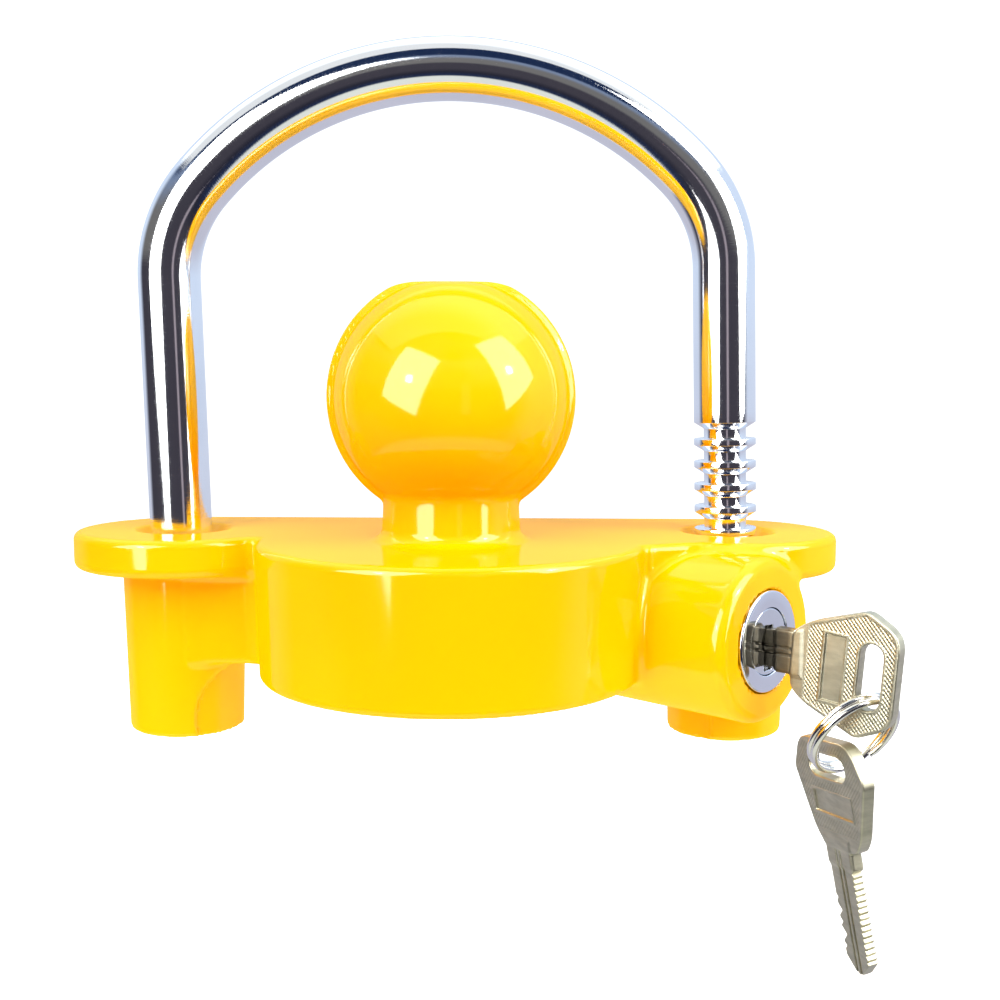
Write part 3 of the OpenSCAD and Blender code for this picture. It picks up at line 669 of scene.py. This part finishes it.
class Material:
    """A Principled material whose noise works in the object's own space."""

    def __init__(self, name):
        self.material = bpy.data.materials.new(name)
        self.material.use_nodes = True
        self.nodes, self.links = self.material.node_tree.nodes, self.material.node_tree.links
        self.shader = self.nodes["Principled BSDF"]
        self.place = self.nodes.new("ShaderNodeTexCoord").outputs["Object"]

    def set(self, **values):
        for key, value in values.items():
            self.shader.inputs[key.replace("_", " ")].default_value = value
        return self

    def stretched(self, scale, source=None):
        mapping = self.nodes.new("ShaderNodeMapping")
        mapping.inputs["Scale"].default_value = scale
        self.links.new(source or self.place, mapping.inputs["Vector"])
        return mapping.outputs["Vector"]

    def noise(self, scale, detail=2.0, rough=0.5, source=None):
        n = self.nodes.new("ShaderNodeTexNoise")
        n.inputs["Scale"].default_value = scale
        n.inputs["Detail"].default_value = detail
        n.inputs["Roughness"].default_value = rough
        self.links.new(source or self.place, n.inputs["Vector"])
        return n.outputs["Fac"]

    def spread(self, value, low, high, start=0.3, end=0.7):
        r = self.nodes.new("ShaderNodeMapRange")
        for key, v in (("From Min", start), ("From Max", end), ("To Min", low), ("To Max", high)):
            r.inputs[key].default_value = v
        self.links.new(value, r.inputs["Value"])
        return r.outputs["Result"]

    def colours(self, value, *stops):
        ramp = self.nodes.new("ShaderNodeValToRGB")
        first, last = ramp.color_ramp.elements[0], ramp.color_ramp.elements[-1]
        first.position, first.color = stops[0][0], (*stops[0][1], 1)
        last.position, last.color = stops[-1][0], (*stops[-1][1], 1)
        for at, colour in stops[1:-1]:
            ramp.color_ramp.elements.new(at).color = (*colour, 1)
        self.links.new(value, ramp.inputs["Fac"])
        self.links.new(ramp.outputs["Color"], self.shader.inputs["Base Color"])
        return self

    def along(self, axis):
        """The distance along an axis, in millimetres."""
        dot = self.nodes.new("ShaderNodeVectorMath")
        dot.operation = "DOT_PRODUCT"
        dot.inputs[1].default_value = [float(v) / MM for v in axis]
        self.links.new(self.place, dot.inputs[0])
        return dot.outputs["Value"]

    def shaded(self, amount, tint):
        """Painted shade: multiply the base colour by a tint where the amount is 1."""
        mix = self.nodes.new("ShaderNodeMix")
        mix.data_type, mix.blend_type = "RGBA", "MULTIPLY"
        base = self.shader.inputs["Base Color"]
        self.links.new(amount, mix.inputs[0])
        self.links.new(base.links[0].from_socket, mix.inputs[6])
        mix.inputs[7].default_value = (*tint, 1)
        self.links.new(mix.outputs[2], base)
        return self

    def roughness(self, value, low, high):
        self.links.new(self.spread(value, low, high), self.shader.inputs["Roughness"])
        return self

    def bump(self, *layers):
        """Each layer is (height output, depth in millimetres)."""
        normal = None
        for height, depth in layers:
            b = self.nodes.new("ShaderNodeBump")
            b.inputs["Strength"].default_value = 1.0
            b.inputs["Distance"].default_value = depth * MM
            self.links.new(height, b.inputs["Height"])
            if normal is not None:
                self.links.new(normal, b.inputs["Normal"])
            normal = b.outputs["Normal"]
        self.links.new(normal, self.shader.inputs["Normal"])
        return self


def paint():
    m = Material("gloss_yellow").set(Specular_IOR_Level=0.0)
    m.set(Coat_Weight=0.32, Coat_IOR=2.4, Coat_Roughness=0.09)
    drift = m.noise(22, 2, 0.5)
    m.colours(drift, (0.35, (0.98, 0.475, 0.0)), (0.65, (1.0, 0.51, 0.0)))
    m.roughness(m.noise(160, 3, 0.6), 0.3, 0.4)
    m.bump((m.noise(130, 2, 0.5), 0.05), (m.noise(620, 2, 0.5), 0.004))
    return m.material


def chrome(name, tint, low, high, worn):
    m = Material(name).set(Metallic=1.0)
    m.colours(m.noise(60, 3, 0.6), (0.35, tuple(0.94 * v for v in tint)), (0.65, tint))
    m.roughness(m.noise(240, 4, 0.65), low, high)
    m.bump((m.noise(900, 2, 0.5), worn))
    return m.material


def rod_chrome():
    m = Material("rod_chrome").set(Metallic=1.0)
    uv = m.nodes.new("ShaderNodeUVMap")
    uv.uv_map = "rod"
    polish = m.noise(1.0, 3, 0.6, m.stretched((3, 160, 1), uv.outputs["UV"]))
    m.colours(m.noise(55, 3, 0.6), (0.35, (0.84, 0.86, 0.90)), (0.65, (0.90, 0.91, 0.94)))
    m.roughness(polish, 0.045, 0.13)
    m.bump((polish, 0.008), (m.noise(90, 1, 0.4), 0.006))
    return m.material


def brushed(name, dark, light, low, high, grain, depth):
    m = Material(name).set(Metallic=1.0)
    streak = m.noise(1.0, 3, 0.6, m.stretched(grain))
    m.colours(streak, (0.3, dark), (0.7, light))
    m.roughness(m.noise(300, 3, 0.6), low, high)
    m.bump((streak, depth))
    return m


def paint_shade_on_neck(m, shade_tint, fade_from, fade_to):
    """Painted shade: darken a key between the lock's face and its bow, standing in for the shade and dark
    reflections there.
    """
    amount = m.spread(m.along(lock_z), 1.0, 0.0, fade_from, fade_to)
    return m.shaded(amount, shade_tint)


yellow_paint = paint()
rod = rod_chrome()
lock_chrome = chrome("face_chrome", (0.84, 0.87, 0.94), 0.03, 0.07, 0.0008)
ring_chrome = chrome("ring_nickel", (0.86, 0.84, 0.79), 0.10, 0.2, 0.002)
plug_steel = chrome("plug_nickel", (0.80, 0.83, 0.89), 0.04, 0.09, 0.0008)
KEY_NICKEL = {"dark": (0.50, 0.48, 0.37), "light": (0.64, 0.61, 0.48), "low": 0.36, "high": 0.44,
              "grain": (260, 260, 900), "depth": 0.004}
nickel = brushed("key_nickel", **KEY_NICKEL).material
bow_at = float((face_at + BOW_GAP * lock_z) @ lock_z)
# The key in the lock gets painted shade on its neck, between the lock's face and its bow.
neck_with_painted_shade = brushed("key_nickel_dark_neck", **KEY_NICKEL)
neck_with_painted_shade = paint_shade_on_neck(neck_with_painted_shade, (0.34, 0.32, 0.31), bow_at - 1.6, bow_at - 0.2).material
zinc = brushed("zinc_steel", dark=(0.50, 0.52, 0.56), light=(0.68, 0.70, 0.74),
               low=0.25, high=0.4, grain=(500, 500, 120), depth=0.004).material
spring_steel = brushed("spring_wire", dark=(0.38, 0.39, 0.42), light=(0.55, 0.56, 0.59),
                       low=0.22, high=0.35, grain=(700, 700, 200), depth=0.003).material
brass = brushed("wafer_brass", dark=(0.70, 0.50, 0.20), light=(0.85, 0.66, 0.33),
                low=0.22, high=0.36, grain=(300, 900, 300), depth=0.003).material


def dress(ob, material):
    ob.data.materials.clear()
    ob.data.materials.append(material)


def place(ob, material, slot_name, body_name, *nodes):
    dress(ob, material)
    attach(ob, body_name)
    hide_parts(*nodes)


place(body, yellow_paint, "yellow_paint", "body", "lock_body")
place(shackle, rod, "shackle_chrome", "shackle", "shackle")
place(shell, lock_chrome, "lock_chrome", "body", "lock_shell")
place(plug_ob, plug_steel, "plug_steel", "plug", "lock_plug")
place(key, neck_with_painted_shade, "key_nickel", "key", "key")
place(spare, nickel, "key_nickel", "spare_key", "spare_key")
place(ring, ring_chrome, "ring_chrome", "key_ring", "key_ring")
for ob, node, body_name in coils:
    place(ob, spring_steel, "spring_steel", body_name, node)
for node in ("lock_cam", "cam_pin", "lock_dog", "dog_bore_cover", "shell_retaining_pin"):
    dress(frame["nodes"][node], zinc)
dress(frame["nodes"]["plug_clip"], spring_steel)
for i in range(1, 6):
    dress(frame["nodes"][f"wafer_{i}"], brass)

# ---------- floor and light ----------

low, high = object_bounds()
FLOOR_GAP, FLOOR_HALF_W, FLOOR_FRONT, FLOOR_BACK, FLOOR_CORNER_R = 0.004, 0.6, -0.125, 0.5, 0.05
floor_z = low[2] - FLOOR_GAP


def sheet_points():
    """A sheet of paper under the object, with round corners, its front edge just ahead of the object."""
    r = FLOOR_CORNER_R
    x0, x1, y0, y1 = r - FLOOR_HALF_W, FLOOR_HALF_W - r, FLOOR_FRONT + r, FLOOR_BACK - r
    points = []
    for cx, cy, a0 in ((x1, y1, 0), (x0, y1, 90), (x0, y0, 180), (x1, y0, 270)):
        for k in range(9):
            a = math.radians(a0 + 90 * k / 8)
            points.append((cx + r * math.cos(a), cy + r * math.sin(a), floor_z))
    return points


floor_mesh = bpy.data.meshes.new("floor")
outline = sheet_points()
floor_mesh.from_pydata(outline, [], [tuple(range(len(outline)))])
floor = bpy.data.objects.new("floor", floor_mesh)
bpy.context.scene.collection.objects.link(floor)
white = Material("paper").set(Base_Color=(0.95, 0.95, 0.95, 1), Roughness=0.9)
white.set(Emission_Color=(1, 0.99, 0.96, 1), Emission_Strength=0.42)
floor_mesh.materials.append(white.material)
floor.visible_glossy = False


def world_light():
    """White to the camera. To the object, a dark room in front and a pale one behind and to the right."""
    world = bpy.data.worlds.new("studio")
    bpy.context.scene.world = world
    world.use_nodes = True
    nodes, links = world.node_tree.nodes, world.node_tree.links
    direction = nodes.new("ShaderNodeTexCoord").outputs["Generated"]

    def along(axis, *stops):
        """Colours by how far the direction points along an axis, from -1 to 1."""
        dot = nodes.new("ShaderNodeVectorMath")
        dot.operation = "DOT_PRODUCT"
        dot.inputs[1].default_value = Vector(axis).normalized() * 0.5
        links.new(direction, dot.inputs[0])
        half = nodes.new("ShaderNodeMath")
        half.inputs[1].default_value = 0.5
        links.new(dot.outputs["Value"], half.inputs[0])
        ramp = nodes.new("ShaderNodeValToRGB")
        links.new(half.outputs[0], ramp.inputs["Fac"])
        e = ramp.color_ramp.elements
        e[0].position, e[-1].position = stops[0][0] / 2 + 0.5, stops[-1][0] / 2 + 0.5
        e[0].color, e[-1].color = (*stops[0][1], 1), (*stops[-1][1], 1)
        for at, colour in stops[1:-1]:
            e.new(at / 2 + 0.5).color = (*colour, 1)
        return ramp.outputs["Color"]

    def mix(fac, a, b):
        m = nodes.new("ShaderNodeMixRGB")
        links.new(fac, m.inputs["Fac"])
        links.new(a, m.inputs["Color1"])
        if isinstance(b, tuple):
            m.inputs["Color2"].default_value = b
        else:
            links.new(b, m.inputs["Color2"])
        return m.outputs["Color"]

    navy, night, dusk = (0.018, 0.034, 0.085), (0.03, 0.03, 0.045), (0.065, 0.06, 0.075)
    slate, sky, table = (0.18, 0.175, 0.17), (0.22, 0.28, 0.40), (0.70, 0.72, 0.66)
    front = along((0, 0, 1), (-0.62, table), (-0.57, navy), (-0.38, night), (-0.2, dusk), (0.12, dusk),
                  (0.2, slate), (0.4, slate), (0.56, sky), (0.62, navy), (0.9, navy))
    lilac, pale_sky = (0.52, 0.52, 0.60), (0.62, 0.71, 0.85)
    back = along((0, 0, 1), (-0.2, lilac), (0.1, pale_sky))
    is_back = along((0.3, 0.95, 0), (-0.12, (0, 0, 0)), (0.22, (1, 1, 1)))
    ray = nodes.new("ShaderNodeLightPath")
    colour = mix(ray.outputs["Is Camera Ray"], mix(is_back, front, back), (1, 1, 1, 1))
    links.new(colour, nodes["Background"].inputs["Color"])


world_light()


def toward(azimuth, elevation, distance):
    """A point seen from the object: azimuth 0 is the front, positive to the right."""
    a, e = math.radians(azimuth), math.radians(elevation)
    return Vector((math.sin(a) * math.cos(e), -math.cos(a) * math.cos(e), math.sin(e))) * distance


def panel(name, centre, aim, width, height, radiance, colour=(1, 1, 1), shines=True, lights=True):
    """A soft rectangular light of a given brightness, never seen by the camera itself.

    shines is whether reflections show it, and lights whether it lights what isn't polished."""
    light = bpy.data.lights.new(name, "AREA")
    light.shape = "RECTANGLE"
    light.size, light.size_y = width, height
    light.energy = radiance * math.pi * width * height
    light.color = colour
    ob = bpy.data.objects.new(name, light)
    bpy.context.scene.collection.objects.link(ob)
    ob.location = centre
    ob.rotation_euler = (Vector(aim) - Vector(centre)).to_track_quat("-Z", "Y").to_euler()
    ob.visible_camera = False
    ob.visible_glossy = shines
    ob.visible_diffuse = lights


def card(name, corners, away, radiance, colour):
    """A bright card that only polished surfaces show, its corners given as toward() takes them."""
    mesh = bpy.data.meshes.new(name)
    mesh.from_pydata([tuple(toward(*c, away)) for c in corners], [], [tuple(range(len(corners)))])
    ob = bpy.data.objects.new(name, mesh)
    bpy.context.scene.collection.objects.link(ob)
    glow = Material(name + "_glow").set(Base_Color=(0, 0, 0, 1))
    glow.set(Emission_Color=(*colour, 1), Emission_Strength=radiance)
    mesh.materials.append(glow.material)
    ob.visible_camera = ob.visible_diffuse = ob.visible_shadow = False


BALL_AT, WARM_WHITE, SOFT_WHITE, TINTED = (0, 0, 0), (1, 0.99, 0.97), (1, 1, 0.97), (0.97, 0.97, 0.90)
LAMP_AWAY, LAMP_W, LAMP_RADIANCE = 0.55, 0.05, 40
panel("fill_left", toward(-36, 42, 0.95), BALL_AT, 0.9, 0.8, 3.8, WARM_WHITE, shines=False)
panel("fill_right", toward(48, 40, 1.05), BALL_AT, 1.0, 0.9, 3.3, WARM_WHITE, shines=False)
panel("lamp_left", toward(-38, 17, LAMP_AWAY), BALL_AT, LAMP_W, LAMP_W, LAMP_RADIANCE)
panel("lamp_right", toward(63, 23, LAMP_AWAY), BALL_AT, LAMP_W, LAMP_W, LAMP_RADIANCE)
panel("ceiling", (0, 0.35, 1.30), (0, 0.35, 0), 3.2, 1.9, 0.75, TINTED, lights=False)

# the corners of a card are (azimuth, elevation) at one distance
SOFTBOX_AWAY, SOFTBOX_RADIANCE, STRIP_AWAY, STRIP_RADIANCE = 0.8, 5.8, 0.245, 0.33
LEFT_CORNERS = [(-65, 2), (-53, 44), (-9, 35), (-31, -15)]
RIGHT_CORNERS = [(34, 49), (79, 50), (90, 14), (56, -10)]
STRIP_CORNERS = [(12, -14), (20, -14), (20, 14), (12, 14)]
card("softbox_left", LEFT_CORNERS, SOFTBOX_AWAY, SOFTBOX_RADIANCE, SOFT_WHITE)
card("softbox_right", RIGHT_CORNERS, SOFTBOX_AWAY, SOFTBOX_RADIANCE, SOFT_WHITE)
card("strip", STRIP_CORNERS, STRIP_AWAY, STRIP_RADIANCE, (1.0, 0.86, 0.94))

# ---------- camera ----------

cam_data = bpy.data.cameras.new("camera")
SENSOR_MM, LENS_MM, NEAREST = 36, 46.6, 0.01
cam_data.sensor_width = SENSOR_MM
cam_data.lens = LENS_MM
cam_data.clip_start = NEAREST
cam = bpy.data.objects.new("camera", cam_data)
bpy.context.scene.collection.objects.link(cam)
CAMERA_AT, CAMERA_TURN = Vector((0.0119, -0.2400, 0.0053)), (-0.67, 5.79, 0.18)
yaw, pitch, roll = (math.radians(a) for a in CAMERA_TURN)
forward = Vector((math.sin(yaw) * math.cos(pitch), math.cos(yaw) * math.cos(pitch), -math.sin(pitch)))
level = Vector((math.cos(yaw), -math.sin(yaw), 0))
over = level.cross(forward)
right = level * math.cos(roll) + over * math.sin(roll)
up = over * math.cos(roll) - level * math.sin(roll)
cam.matrix_world = Matrix.Translation(CAMERA_AT) @ Matrix((right, up, -forward)).transposed().to_4x4()
bpy.context.scene.camera = cam
bpy.context.scene.view_settings.view_transform = "Standard"
bpy.context.scene.view_settings.look = "Medium High Contrast"
